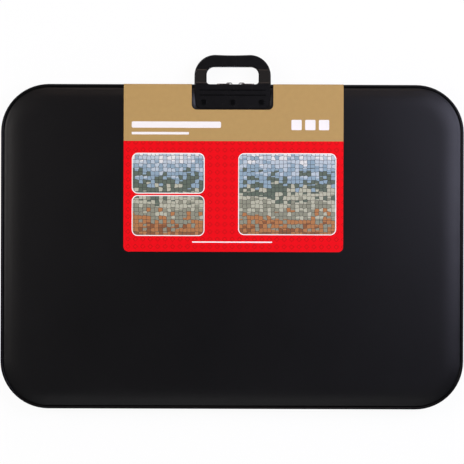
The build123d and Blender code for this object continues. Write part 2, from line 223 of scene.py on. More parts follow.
cover_leather = leathercloth("embossed_pvc_leathercloth", "#0F0F10", "#0B0B0C", 2.2, 0.03, 0.18)
trim_leather = leathercloth("smooth_pvc_trim", "#0B0B0C", "#070708", 1.6, 0.02, 0.1)
print("materials:", cover_leather.name, trim_leather.name)

# %% [markdown]
# ## Felt, woven tape and thread
#
# The inside is lined with grey-green needle felt. Felt has no weave: its fibres lie in all directions, so
# noise at two sizes gives the fibres and the cloudy patches between them, and sheen gives the pale bloom at
# a shallow angle. The zip's tape is woven polyester with a twill rib, which a wave texture draws.

# %% Felt, tape and thread
felt_grey, tree, shader, place = start_material("needle_felt", "#B9BBA4", 0.95, Sheen_Weight=0.35)
fibres = add_node(tree, "TexNoise", {"Vector": place, "Scale": per_metre(1.8), "Detail": 6.0})
patches = add_node(tree, "TexNoise", {"Vector": place, "Scale": per_metre(45), "Detail": 3.0})
amount = add_node(
    tree,
    "Math",
    {0: patches.outputs["Fac"], 1: 0.6, 2: fibres.outputs["Fac"]},
    operation="MULTIPLY_ADD",
)
mix = add_node(tree, "MapRange", {"Value": amount.outputs[0], "From Min": 0.45, "From Max": 1.15})
tone = add_node(
    tree,
    "Mix",
    {"Factor_Float": mix.outputs[0], "A_Color": linear("#A3A58E"), "B_Color": linear("#C9CBB6")},
    data_type="RGBA",
)
fuzz = add_node(tree, "Bump", {"Height": fibres.outputs["Fac"], "Distance": 0.5 * MM, "Strength": 0.7})
tree.links.new(tone.outputs["Result"], shader.inputs["Base Color"])
tree.links.new(fuzz.outputs[0], shader.inputs["Normal"])

tape_weave, tree, shader, place = start_material("woven_polyester_tape", "#111112", 0.8)
rib = add_node(
    tree,
    "TexWave",
    {"Vector": place, "Scale": per_metre(1.2) / math.tau, "Distortion": 0.6},
    bands_direction="DIAGONAL",
)
ribbed = add_node(tree, "Bump", {"Height": rib.outputs["Fac"], "Distance": 0.15 * MM})
tree.links.new(ribbed.outputs[0], shader.inputs["Normal"])

thread_black, tree, shader, place = start_material("polyester_thread", "#1E1E20", 0.45)
twist = add_node(tree, "TexWave", {"Vector": place, "Scale": per_metre(0.5) / math.tau})
twisted = add_node(tree, "Bump", {"Height": twist.outputs["Fac"], "Distance": 0.05 * MM})
tree.links.new(twisted.outputs[0], shader.inputs["Normal"])
print("materials:", felt_grey.name, tape_weave.name, thread_black.name)

# %% [markdown]
# ## Moulded plastic, metal and board
#
# The handles are moulded polypropylene with a lightly spark-eroded texture, the rim is extruded plastic, and
# the zip's teeth are acetal. Metals keep their default index of refraction. Fine noise in the roughness is
# what keeps a metal or a moulding from looking like glass.


# %% A finish whose roughness varies, for plastics and metals
def solid_finish(name, colour, roughness, spread, grain_mm, depth_mm, **sockets):
    """A hard surface: its gloss wanders by the spread, and its texture has that size and depth."""
    material, tree, shader, place = start_material(name, colour, roughness, **sockets)
    grain = add_node(tree, "TexNoise", {"Vector": place, "Scale": per_metre(grain_mm), "Detail": 4.0})
    cloud = add_node(tree, "TexNoise", {"Vector": place, "Scale": per_metre(12 * grain_mm)})
    gloss = add_node(
        tree,
        "MapRange",
        {"Value": cloud.outputs["Fac"], "To Min": roughness - spread, "To Max": roughness + spread},
    )
    bump = add_node(tree, "Bump", {"Height": grain.outputs["Fac"], "Distance": depth_mm * MM})
    tree.links.new(gloss.outputs[0], shader.inputs["Roughness"])
    tree.links.new(bump.outputs[0], shader.inputs["Normal"])
    return material


handle_plastic = solid_finish(
    "moulded_polypropylene", "#0F0F10", 0.26, 0.04, 0.9, 0.004, Specular_IOR_Level=0.22
)
rim_plastic = solid_finish("extruded_abs", "#151516", 0.45, 0.06, 1.5, 0.02)
tooth_plastic = solid_finish("acetal_teeth", "#0F0F10", 0.3, 0.05, 1.0, 0.01)
nickel = solid_finish("nickel_plated_zinc", "#958882", 0.24, 0.05, 0.8, 0.01, Metallic=1.0)
rivet_enamel = solid_finish(
    "black_enamelled_steel", "#070708", 0.14, 0.03, 1.2, 0.003, Specular_IOR_Level=0.3
)
strip_steel = solid_finish("galvanised_steel", "#9EA2A5", 0.38, 0.08, 4.0, 0.01, Metallic=1.0)
greyboard = solid_finish("recycled_greyboard", "#8F887C", 0.9, 0.04, 1.5, 0.10)
hardboard = solid_finish("brown_hardboard", "#6E5238", 0.7, 0.06, 1.2, 0.05)
print("materials:", handle_plastic.name, nickel.name, greyboard.name)

# %% [markdown]
# ## Padded covers
#
# Each half is covered by a padded skin: leathercloth over a sheet of foam on a stiff board, sewn to the
# piping round its edge. The foam makes it crown. Beside the piping lies a narrow groove, where the skin is
# sewn down. From there the skin rolls up steeply, slopes gently as far as the shoulder, and eases to its
# level 46 mm in. That gentle slope is what catches the side lights.
#
# The face starts as a flat grid whose corner cells are drawn in to the rounded outline, so that its rows run
# parallel to the piping. The rows lie closer together near the edge, where the skin bends most. Each point
# is then raised by its distance from the edge. Where the base plate of the handle is riveted on, the foam is
# squeezed flat, and the skin swells up softly round the plate. Small puckers run in from the seam, where the
# stitches draw the skin together round the piping.

# %% Values of the padded covers
# Each run is a distance in from the pad's own edge: the groove's flat, then the end of the roll, of the
# shoulder and of the crown. The lift is the height of the groove's floor over the board.
PAD_INSET = inset_of("front_cover")
SEAM_FLAT = 2.9 * MM
ROLL_RUN = 5.2 * MM
SHOULDER_RUN = 12 * MM
CROWN_RUN = 46 * MM
SHOULDER_SLOPE = math.tan(math.radians(7.5))
SEAM_LIFT = 0.7 * MM

# The grid's cells, how far its rows are moved outwards, and over which distance that fades in.
PAD_CELL = 2.6 * MM
ROW_SHIFT = 11 * MM
ROW_RUN = 13 * MM

# The press round the handle's plate, the puckers at the seam, and the foam's broad hollows.
PRESS_RUN = 9 * MM
PUCKER_RUN = 16 * MM
PUCKER_DEPTH = 0.35 * MM
PUCKER_SIZE = 17 * MM
HOLLOW_DEPTH = 0.35 * MM
HOLLOW_SIZE = 130 * MM

# The base plate's outline, its underside, and the gap that the skin and the card take up under it.
PLATE_CORNER = 8 * MM
PLATE_TAPER = 4.3 * MM
PLATE_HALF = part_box("front_handle")[1].x
PLATE_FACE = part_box("back_handle")[0].z
PLATE_GAP = 2.4 * MM


def edge_distance(x, y, inset):
    """How far a point lies inside the rounded outline with that inset."""
    across = abs(x) - (HALF_WIDTH - CORNER)
    along = abs(y) - (HALF_HEIGHT - CORNER)
    reach = math.hypot(max(across, 0), max(along, 0)) + min(max(across, along), 0)
    return CORNER - inset - reach


def plate_distance(x, y):
    """How far a point lies outside the tapered base plate of the handle, and below 0 inside it."""
    half_width = PLATE_HALF - PLATE_TAPER * (PLATE_TOP - y) / (PLATE_TOP - PLATE_FOOT)
    across = abs(x) - half_width + PLATE_CORNER
    along = PLATE_FOOT + PLATE_CORNER - y
    return math.hypot(max(across, 0), max(along, 0)) + min(max(across, along), 0) - PLATE_CORNER


def crowded(place, half, shift):
    """Moves a grid row outwards by up to the shift, so that rows lie closer together near the edge."""
    distance = half - abs(place)
    moved = (distance - shift * (1 - math.exp(-distance / ROW_RUN))) * half / (half - shift)
    return math.copysign(half - moved, place)


def rounded_grid(inset, cell, shift=0.0):
    """A flat grid in the case's outline. Cells in the corners are drawn in along their diagonals."""
    half = Vector((HALF_WIDTH - inset, HALF_HEIGHT - inset))
    radius = CORNER - inset
    bm = bmesh.new()
    bmesh.ops.create_grid(
        bm, x_segments=round(2 * half.x / cell), y_segments=round(2 * half.y / cell), size=1
    )
    for vert in bm.verts:
        x, y = crowded(vert.co.x * half.x, half.x, shift), crowded(vert.co.y * half.y, half.y, shift)
        across, along = abs(x) - half.x + radius, abs(y) - half.y + radius
        if across > 0 and along > 0:
            pull = max(across, along) / math.hypot(across, along)
            x = math.copysign(half.x - radius + across * pull, x)
            y = math.copysign(half.y - radius + along * pull, y)
        vert.co.x, vert.co.y = x, y
    return bm


def ease(share):
    """A smooth step from 0 to 1."""
    share = min(max(share, 0), 1)
    return share * share * (3 - 2 * share)


def crown_drop(distance, rise):
    """How far the pad lies below its level, at that distance in from its seam."""
    easing_run = CROWN_RUN - SHOULDER_RUN
    if distance >= SHOULDER_RUN:
        return SHOULDER_SLOPE * max(CROWN_RUN - distance, 0) ** 3 / (3 * easing_run**2)
    drop = SHOULDER_SLOPE * (easing_run / 3 + SHOULDER_RUN - max(distance, ROLL_RUN))
    if distance < ROLL_RUN:
        share = min(max((distance - SEAM_FLAT) / (ROLL_RUN - SEAM_FLAT), 0), 1)
        drop += (rise - SEAM_LIFT - drop) * (1 - math.sqrt(1 - (1 - share) ** 2))
    return drop


# %% Raise the grid into a crowned, closed pad
def crowned_cover(rise, seed):
    """The back cover's pad, face down: crowned by the foam, pressed in under the handle, closed behind."""
    bm = rounded_grid(PAD_INSET, PAD_CELL, ROW_SHIFT)
    bmesh.ops.reverse_faces(bm, faces=bm.faces)
    face_verts = list(bm.verts)
    rim_edges = [edge for edge in bm.edges if edge.is_boundary]
    pressed = rise - PLATE_GAP - PLATE_FACE
    for vert in face_verts:
        x, y = vert.co.x, vert.co.y
        distance = edge_distance(x, y, PAD_INSET)
        height = rise - crown_drop(distance, rise)
        pucker = noise.noise(Vector((x, y, seed)) / PUCKER_SIZE)
        drawn = ease((distance - SEAM_FLAT) / (ROLL_RUN - SEAM_FLAT)) * ease(1 - distance / PUCKER_RUN)
        height -= PUCKER_DEPTH * (0.5 + 0.5 * pucker) * drawn
        hollow = noise.noise(Vector((x, y, seed)) / HOLLOW_SIZE)
        height -= HOLLOW_DEPTH * (0.5 + 0.5 * hollow) * ease(distance / CROWN_RUN)
        near_plate = plate_distance(x, y)
        height -= max(height - pressed, 0) * (1 - ease((near_plate + 1.5 * MM) / PRESS_RUN))
        vert.co.z = SEAM - max(height, SEAM_LIFT)
    bmesh.ops.edgeloop_fill(bm, edges=rim_edges)
    bmesh.ops.recalc_face_normals(bm, faces=bm.faces)
    return bm


for body, half in HALVES.items():
    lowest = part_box(f"{half}_cover")
    cover = crowned_cover(lowest[1].z - lowest[0].z, seed=3 if body == "base" else 8)
    if body == "lid":
        mirror_to_front(cover)
    faces = len(cover.faces)
    pad = add_piece(
        cover,
        f"{half}_padded_skin",
        body,
        cover_leather,
        "imitation_leather",
        [f"{half}_cover", f"{half}_foam"],
        smooth_angle=70,
    )
    print(pad.name, faces, "faces")

# %% [markdown]
# ## Carrying a profile round the case
#
# The piping, the wall, the rim and the zip all follow the outline. One helper does for them all: it takes a
# profile that stands at the middle of the spine, and carries it along the straights and round the corners
# with the spin operator. With use_duplicate the same helper leaves copies behind instead, which is how the
# zip's teeth and the stitches are set out.


# %% Carry a profile, or copies of a piece, round the outline
def carry_round(bm, geom, inset, pitch, start_x=0.0, duplicate=False):
    """Carries geom anticlockwise from X = start_x on the spine side to X = -start_x."""
    corner_x, corner_y = HALF_WIDTH - CORNER, HALF_HEIGHT - CORNER
    ends = corner_x - start_x
    straights = [
        Vector((ends, 0, 0)),
        Vector((0, 2 * corner_y, 0)),
        Vector((-2 * corner_x, 0, 0)),
        Vector((0, -2 * corner_y, 0)),
        Vector((ends, 0, 0)),
    ]
    centres = [(corner_x, -corner_y), (corner_x, corner_y), (-corner_x, corner_y), (-corner_x, -corner_y)]
    corner_steps = max(8, round((CORNER - inset) * math.pi / 2 / pitch))
    settings = {"axis": (0, 0, 1), "use_duplicate": duplicate}
    for number, straight in enumerate(straights):
        steps = max(1, round(straight.length / pitch))
        geom = bmesh.ops.spin(
            bm, geom=geom, cent=(0, 0, 0), dvec=straight / steps, angle=0, steps=steps, **settings
        )["geom_last"]
        if number < len(centres):
            geom = bmesh.ops.spin(
                bm,
                geom=geom,
                cent=(*centres[number], 0),
                angle=math.pi / 2,
                steps=corner_steps,
                **settings,
            )["geom_last"]


def profile_at(bm, points, start_x=0.0):
    """A closed profile across the wall at X = start_x, from (inset, height) points in millimetres."""
    verts = [bm.verts.new((start_x, inset * MM - HALF_HEIGHT, height * MM)) for inset, height in points]
    for first, second in zip(verts, verts[1:] + verts[:1]):
        bm.edges.new((first, second))
    return bm


def swept(points, pitch_mm, start_x=0.0, round_mm=0.0):
    """A strip or cord of that profile, closed on itself, or capped where it starts beside the spine."""
    bm = profile_at(bmesh.new(), points, start_x)
    if round_mm:
        bmesh.ops.bevel(
            bm,
            geom=bm.verts[:],
            offset=round_mm * MM,
            segments=3,
            profile=0.5,
            affect="VERTICES",
            material=-1,
        )
    inset = min(point[0] for point in points) * MM
    carry_round(bm, bm.verts[:] + bm.edges[:], inset, pitch_mm * MM, start_x)
    if start_x:
        bmesh.ops.holes_fill(bm, edges=[edge for edge in bm.edges if edge.is_boundary])
    else:
        bmesh.ops.remove_doubles(bm, verts=bm.verts, dist=1e-5)
    bmesh.ops.recalc_face_normals(bm, faces=bm.faces)
    return bm


def both_halves(make, name, material, slot, node, **settings):
    """Adds a piece to each half. The node's name holds {body} or {half} where the half's own word goes."""
    for body, half in HALVES.items():
        bm = make()
        if body == "lid":
            mirror_to_front(bm)
        word = half if node.startswith("{half}") else body
        stands_for = [node.format(half=half, body=body)]
        piece = add_piece(bm, f"{word}_{name}", body, material, slot, stands_for, **settings)
        print(piece.name, len(piece.data.polygons), "faces")


# %% [markdown]
# ## Piping
#
# The seam between cover and wall hides a welt: a cord in a folded strip of leathercloth, with its edges sewn
# in between the cover and the board. It stands out as a thin bead that catches a line of light all round.
# The strip is drawn tight round the cord, but never evenly, so the bead gets a slight wander.

# %% Piping round both covers
CORD_RADIUS = 2.6
CORD_HEIGHT = 5.4
CORD_SIDES = 14
WANDER_SIZE = 22 * MM
WANDER_DEPTH = 0.12 * MM


def piping():
    """The cord under its strip, carried round the outline, with a slight wander in its height."""
    turn = math.tau / CORD_SIDES
    cord = [
        (CORD_RADIUS * (1 - math.cos(number * turn)), CORD_HEIGHT + CORD_RADIUS * math.sin(number * turn))
        for number in range(CORD_SIDES)
    ]
    bm = swept(cord, pitch_mm=9)
    for vert in bm.verts:
        vert.co.z += WANDER_DEPTH * noise.noise_vector(vert.co / WANDER_SIZE).z
    return bm


both_halves(piping, "piping_bead", trim_leather, "piping", "{half}_piping", smooth_angle=60)

# %% [markdown]
# ## Side wall and rim
#
# The wall of each half is a band of leathercloth, folded over at its upper edge and stitched through the
# zip's tape. Inside it stands the rim, a stiff extruded strip that keeps the half flat and holds the lining.

# %% Side walls and rims
WALL = [(2.0, 7.4), (2.0, 15.0), (3.2, 15.0), (3.2, 7.4)]
RIM = [(4.2, 7.5), (4.2, 15.0), (8.2, 15.0), (8.2, 7.5)]
both_halves(
    lambda: swept(WALL, pitch_mm=20, round_mm=0.45),
    "wall_band",
    trim_leather,
    "imitation_leather",
    "{body}_side_wall",
)
both_halves(
    lambda: swept(RIM, pitch_mm=60, round_mm=0.7), "rim_strip", rim_plastic, "rim_plastic", "{body}_rim"
)

# %% [markdown]
# ## Zip
#
# The zip is what takes the most skill to make. Its tape is held between wall and rim and ends beside the
# spine. Each tooth is moulded round the tape's corded edge: a narrow neck, and a wider head that reaches
# over the parting and sits between two heads of the other row. The real chain has a tooth every 4 mm.
# One tooth is modelled at the start of the row, and the helper sets out its copies.

# %% Zip tapes
TAPE = [(3.2, 7.9), (3.2, 16.2), (3.0, 16.4), (3.0, 17.1), (4.4, 17.1), (4.4, 16.4), (4.2, 16.2), (4.2, 7.9)]
ZIP_START = 306 * MM
both_halves(
    lambda: swept(TAPE, pitch_mm=12, start_x=ZIP_START), "tape", tape_weave, "zip_tape", "{body}_zip_tape"
)

# %% Zip teeth at their real pitch
TOOTH_PITCH = 4.0 * MM
CHAIN_INSET = 3.7 * MM
NECK = Vector((1.1, 2.2, 2.6)) * MM
HEAD = Vector((1.8, 2.6, 1.7)) * MM
TOOTH_FOOT = 17.0 * MM
HEAD_TOP = 21.2 * MM


def box_at(bm, size, centre, bevel):
    """A box of that size with rounded edges, added to a bmesh."""
    made = bmesh.ops.create_cube(bm, size=1, matrix=Matrix.Translation(centre) @ Matrix.Diagonal((*size, 1)))
    edges = list({edge for vert in made["verts"] for edge in vert.link_edges})
    bmesh.ops.bevel(
        bm, geom=edges, offset=bevel, segments=1, profile=0.5, affect="EDGES", material=-1
    )


def teeth(shift):
    """One row of teeth, each a neck and a head. Half a pitch of shift staggers the other row."""
    bm = bmesh.new()
    start = ZIP_START + shift
    line = CHAIN_INSET - HALF_HEIGHT
    box_at(bm, NECK, (start, line, TOOTH_FOOT + NECK.z / 2), 0.1 * MM)
    box_at(bm, HEAD, (start, line, HEAD_TOP - HEAD.z / 2), 0.3 * MM)
    carry_round(bm, bm.verts[:] + bm.edges[:] + bm.faces[:], CHAIN_INSET, TOOTH_PITCH, start, True)
    return bm


for body in HALVES:
    row = teeth(0 if body == "base" else TOOTH_PITCH / 2)
    if body == "lid":
        mirror_to_front(row)
    chain = add_piece(
        row, f"{body}_tooth_row", body, tooth_plastic, "zip_teeth", [f"{body}_zip_teeth"]
    )
    print(chain.name, len(chain.data.polygons), "faces")

# %% [markdown]
# ## Stitches
#
# Every seam that shows on the real case is a lockstitch of about 3 mm in black polyester. A stitch is a short
# bead of thread that dips into the cloth at both ends, so a small stretched ball is enough for each.


# %% Stitches round the walls
STITCH_PITCH = 3.4 * MM
WALL_SEAM_HEIGHT = 12.9 * MM


def stitch(bm, place, length_mm=2.7, thickness_mm=0.5):
    """One stitch along X at a place."""
    size = Matrix.Diagonal((length_mm * MM / 2, thickness_mm * MM / 2, thickness_mm * MM / 2, 1))
    return bmesh.ops.create_icosphere(
        bm, subdivisions=1, radius=1, matrix=Matrix.Translation(place) @ size
    )


def wall_stitches():
    """The row that sews the band's folded edge to the zip's tape."""
    bm = bmesh.new()
    inset = WALL[0][0] * MM
    stitch(bm, (ZIP_START, inset - HALF_HEIGHT, WALL_SEAM_HEIGHT))
    carry_round(bm, bm.verts[:] + bm.edges[:] + bm.faces[:], inset, STITCH_PITCH, ZIP_START, True)
    return bm


for body in HALVES:
    seam = wall_stitches()
    if body == "lid":
        mirror_to_front(seam)
    add_piece(seam, f"{body}_wall_stitches", body, thread_black, "imitation_leather", smooth_angle=80)

# %% [markdown]
# ## Spine hinge
#
# Along the spine the halves are joined by one strip of leathercloth, sewn to both walls. The strip is a grid
# with rows of points across the fold, which shape its bulge along the spine.

# %% Hinge strip across the fold
STRIP_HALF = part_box("base_hinge_strip")[1].x
STRIP_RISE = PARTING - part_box("base_hinge_strip")[0].z
STRIP_THICK = 0.9 * MM
STRIP_ROWS = 36
STRIP_COLUMNS = 60
STRIP_HEM = 3 * MM
FOLD_LEVEL = 0.08
FOLD_SPREAD = 0.5
SPINE_SEAM_HEIGHT = 11.4 * MM
WALL_FACE = HALF_HEIGHT - WALL[0][0] * MM

bm = bmesh.new()
bmesh.ops.create_grid(bm, x_segments=STRIP_COLUMNS, y_segments=STRIP_ROWS, size=1)
for vert in bm.verts:
    rise = vert.co.y
    pressed = ease((abs(rise) - FOLD_LEVEL) / FOLD_SPREAD)
    depth = -WALL_FACE * pressed + (HINGE.y + STRIP_THICK / 2) * (1 - pressed)
    vert.co = (vert.co.x * STRIP_HALF, depth, PARTING + rise * STRIP_RISE)
bmesh.ops.solidify(bm, geom=bm.faces[:], thickness=-STRIP_THICK)
bmesh.ops.recalc_face_normals(bm, faces=bm.faces)
hinge_strip = add_piece(
    bm,
    "spine_hinge_strip",
    None,
    trim_leather,
    "hinge_fabric",
    ["base_hinge_strip", "lid_hinge_strip"],
)
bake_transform(hinge_strip)

seam_length = 2 * (STRIP_HALF - STRIP_HEM)
steps = round(seam_length / STITCH_PITCH)
for body in HALVES:
    seam = bmesh.new()
    stitch(seam, (-seam_length / 2, -WALL_FACE - STRIP_THICK, SPINE_SEAM_HEIGHT))
    bmesh.ops.spin(
        seam,
        geom=seam.verts[:] + seam.edges[:] + seam.faces[:],
        cent=(0, 0, 0),
        axis=(0, 0, 1),
        dvec=(seam_length / steps, 0, 0),
        angle=0,
        steps=steps,
        use_duplicate=True,
    )
    if body == "lid":
        mirror_to_front(seam)
    add_piece(seam, f"{body}_spine_stitches", body, thread_black, "hinge_fabric", smooth_angle=80)
print("hinge strip", len(hinge_strip.data.polygons), "faces")

# %% [markdown]
# ## Felt linings
#
# The puzzle lies on felt: a sheet is glued into each half, and one on each of the two loose sorting boards.
# Felt is cut, not woven, so its edge is soft and slightly rounded. Each is a sheet cut to the outline inside
# the rim, and it keeps a faint unevenness where the glue took it up.


# %% Four sheets of felt
FELT_CELL = 14 * MM
FELT_DIP = 0.15 * MM
FELT_DIP_SIZE = 60 * MM
FELT_ROUND = 0.4 * MM


def felt_sheet(name, node, body):
    """A cut sheet of felt in the place of its CAD node."""
    low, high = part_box(node)
    inset = inset_of(node)
    up = body == "base"
    bm = rounded_grid(inset, FELT_CELL)
    for vert in bm.verts:
        vert.co.z = low.z if up else high.z
    thickness = high.z - low.z
    made = bmesh.ops.extrude_face_region(bm, geom=bm.faces[:], use_keep_orig=True)
    top = [item for item in made["geom"] if isinstance(item, bmesh.types.BMVert)]
    for vert in top:
        dip = FELT_DIP * (0.5 + 0.5 * noise.noise(vert.co / FELT_DIP_SIZE))
        vert.co.z += (thickness - dip) * (1 if up else -1)
    bmesh.ops.recalc_face_normals(bm, faces=bm.faces)
    level = set(top)
    brim = [
        edge
        for edge in bm.edges
        if set(edge.verts) <= level and edge.calc_face_angle() > math.radians(40)
    ]
    bmesh.ops.bevel(
        bm, geom=brim, offset=FELT_ROUND, segments=3, profile=0.5, affect="EDGES", material=-1
    )
    felt = add_piece(bm, name, body, felt_grey, "felt", [node], smooth_angle=60)


felt_sheet("base_lining", "base_felt", "base")
felt_sheet("lid_lining", "lid_felt", "lid")
felt_sheet("lower_sorting_felt", "sorting_board_lower_felt", "base")
felt_sheet("upper_sorting_felt", "sorting_board_upper_felt", "base")
print("felt sheets: 4")

# %% [markdown]
# ## Stiff pieces from the CAD
#
# The handles, rivets, sliders and pulls have their right shapes already, but with knife-sharp edges. A CAD
# node's mesh is loose triangles, so a copy of it is welded, its flat faces are joined again, and its sharp
# edges are bevelled. The copy stands for the node. Hidden boards, strips and stops only get their materials.


# %% Soften the edges of stiff pieces
def softened(node, body, material, slot, bevel_mm, segments=2, sharp_angle=28):
    """A copy of a CAD node with rounded edges."""
    bm = bmesh.new()
    bm.from_mesh(nodes[node].data)
    bmesh.ops.remove_doubles(bm, verts=bm.verts, dist=1e-6)
    bmesh.ops.dissolve_limit(bm, angle_limit=math.radians(1), verts=bm.verts, edges=bm.edges)
    sharp = [
        edge
        for edge in bm.edges
        if len(edge.link_faces) == 2 and edge.calc_face_angle() > math.radians(sharp_angle)
    ]
    bmesh.ops.bevel(
        bm,
        geom=sharp,
        offset=bevel_mm * MM,
        segments=segments,
        profile=0.5,
        affect="EDGES",
        material=-1,
        clamp_overlap=True,
    )
    piece = add_piece(bm, f"{node}_finished", body, material, slot, [node], smooth_angle=40)
    evened = piece.modifiers.new("even_shading", "WEIGHTED_NORMAL")
    evened.keep_sharp = True
    return piece


for body, half in HALVES.items():
    handle = softened(f"{half}_handle", body, handle_plastic, "handle_plastic", 0.5)
    softened(f"{half}_rivets", body, rivet_enamel, "rivet_enamel", 0.45, segments=4)
for side in ("left", "right"):
    softened(f"slider_{side}", f"{side}_slider", nickel, "nickel", 0.2)
    softened(f"pull_{side}", f"{side}_pull", nickel, "nickel", 0.2)
for node, material in {
    "back_board": hardboard,
    "front_board": hardboard,
    "sorting_board_lower": greyboard,
    "sorting_board_upper": greyboard,
    "back_rivet_strip": strip_steel,
    "front_rivet_strip": strip_steel,
    "base_zip_stops": nickel,
    "lid_zip_stops": nickel,
}.items():
    for material_slot in nodes[node].material_slots:
        material_slot.material = material
print(handle.name, len(handle.data.polygons), "faces")

# %% [markdown]
# ## Printed card
#
# A printed card hangs over the upper edge, cut out round the handle, with its lip tucked in behind. It is
# made as it is in a factory: cut flat, then bent along its folds, and last given its thickness. Its flat
# shape is kept as a UV map, so the print follows the card round the fold. Its design is plain: a tan band, a
# red field with a lattice, and three panels of coloured tiles.

# %% Cut the card flat
CARD_LOW, CARD_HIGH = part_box("label_card")
CARD_THICK = 0.4 * MM
CARD_CORNER = 9 * MM
NOTCH_HALF = 71.4 * MM
NOTCH_FOOT = HALF_HEIGHT - 44.5 * MM
LEVEL = CARD_HIGH.z - CARD_THICK
BEND_START = HALF_HEIGHT - 24.34 * MM
SLOPE = math.radians(6.7)
FOLDS = [(4.68 * MM, SLOPE), (17.95 * MM, 0.0), (3.2 * MM, math.pi / 2 - SLOPE), (8.44 * MM, 0.0)]
FOLD_CUTS = 8
CARD_REACH = BEND_START + sum(length for length, turn in FOLDS)

card = bmesh.new()
outline = [
    (CARD_LOW.x, CARD_LOW.y),
    (CARD_HIGH.x, CARD_LOW.y),
    (CARD_HIGH.x, CARD_REACH),
    (NOTCH_HALF, CARD_REACH),
    (NOTCH_HALF, NOTCH_FOOT),
    (-NOTCH_HALF, NOTCH_FOOT),
    (-NOTCH_HALF, CARD_REACH),
    (CARD_LOW.x, CARD_REACH),
]
card.faces.new([card.verts.new((x, y, 0)) for x, y in outline])
round_corners = [vert for vert in card.verts if vert.co.y < CARD_REACH - MM]
bmesh.ops.bevel(
    card,
    geom=round_corners,
    offset=CARD_CORNER,
    segments=8,
    profile=0.5,
    affect="VERTICES",
    material=-1,
)
reached = BEND_START
for length, turn in FOLDS:
    cuts = FOLD_CUTS if turn else 1
    for number in range(cuts):
        bmesh.ops.bisect_plane(
            card,
            geom=card.verts[:] + card.edges[:] + card.faces[:],
            plane_co=(0, reached + length * number / cuts, 0),
            plane_no=(0, 1, 0),
        )
    reached += length
print("card cut flat:", len(card.faces), "faces")


# %% Fold the card over the edge
def folded(distance):
    """Where a point at that flat distance along Y ends up, as (y, z)."""
    y, z, heading = min(distance, BEND_START), LEVEL, 0.0
    left = distance - BEND_START
    for length, turn in FOLDS:
        run = min(max(left, 0), length)
        if turn:
            radius = length / turn
            new_heading = heading + run / radius
            y += radius * (math.sin(new_heading) - math.sin(heading))
            z -= radius * (math.cos(heading) - math.cos(new_heading))
            heading = new_heading
        else:
            y += run * math.cos(heading)
            z -= run * math.sin(heading)
        left -= length
    return y, z


flat_print = card.loops.layers.uv.new("flat_print")
for face in card.faces:
    for loop in face.loops:
        loop[flat_print].uv = loop.vert.co.xy
for vert in card.verts:
    vert.co.y, vert.co.z = folded(vert.co.y)
print(f"card folded over {CARD_REACH * 1000 - BEND_START * 1000:.0f} mm")

# %% [markdown]
# ## The card's print
#
# The print is drawn with shapes, not with a picture. Each shape is a mask that is 1 inside and 0 outside, and
# each mask lays its colour over what is already there. A rounded panel is the usual distance to a box: the
# coordinate's distance from the panel's centre, less its half size, and the length of what is left over.


# %% Draw the card's print
def panel_mask(tree, flat, centre, half_size, corner):
    """1 inside a rounded panel on the flat card, 0 outside. Sizes are in millimetres."""
    moved = add_node(
        tree, "VectorMath", {0: flat, 1: (centre[0], centre[1], 0)}, operation="SUBTRACT"
    )
    folded_in = add_node(tree, "VectorMath", {0: moved.outputs[0]}, operation="ABSOLUTE")
    inner = (half_size[0] - corner, half_size[1] - corner, 0)
    beyond = add_node(tree, "VectorMath", {0: folded_in.outputs[0], 1: inner}, operation="SUBTRACT")
    outside = add_node(tree, "VectorMath", {0: beyond.outputs[0], 1: (0, 0, 0)}, operation="MAXIMUM")
    reach = add_node(tree, "VectorMath", {0: outside.outputs[0]}, operation="LENGTH")
    return add_node(tree, "Math", {0: reach.outputs["Value"], 1: corner}, operation="LESS_THAN").outputs[0]


def lay_over(tree, below, mask, colour):
    """Lays a colour over the print where the mask is 1."""
    settings = {"Factor_Float": mask, "A_Color": below, "B_Color": colour}
    return add_node(tree, "Mix", settings, data_type="RGBA").outputs["Result"]


card_print, tree, shader, _ = start_material(
    "litho_printed_card", "#FFFFFF", 0.55, Specular_IOR_Level=0.1
)
uv = tree.nodes.new("ShaderNodeUVMap")
uv.uv_map = "flat_print"
flat = add_node(
    tree, "VectorMath", {0: uv.outputs[0], "Scale": 1000.0}, operation="SCALE"
).outputs[0]
lattice = add_node(
    tree,
    "TexVoronoi",
    {"Vector": flat, "Scale": 1 / 13, "Randomness": 0.0},
    voronoi_dimensions="2D",
    feature="F1",
    distance="MANHATTAN",
)
diamonds = add_node(
    tree, "Math", {0: lattice.outputs["Distance"], 1: 0.30, 2: 0.045}, operation="COMPARE"
)
colour = lay_over(tree, linear("#E90010"), diamonds.outputs[0], linear("#B80C08"))
mottle = add_node(tree, "TexNoise", {"Vector": flat, "Scale": 1 / 9, "Detail": 5.0})
tan = lay_over(tree, linear("#B8995F"), mottle.outputs["Fac"], linear("#B0915A"))
BAND_FOOT = 184.5
BAND_HALF = (300, 100)
band = panel_mask(tree, flat, (0, BAND_FOOT + BAND_HALF[1]), BAND_HALF, 0.1)
colour = lay_over(tree, colour, band, tan)
print("ground printed, band from", BAND_FOOT, "mm up")

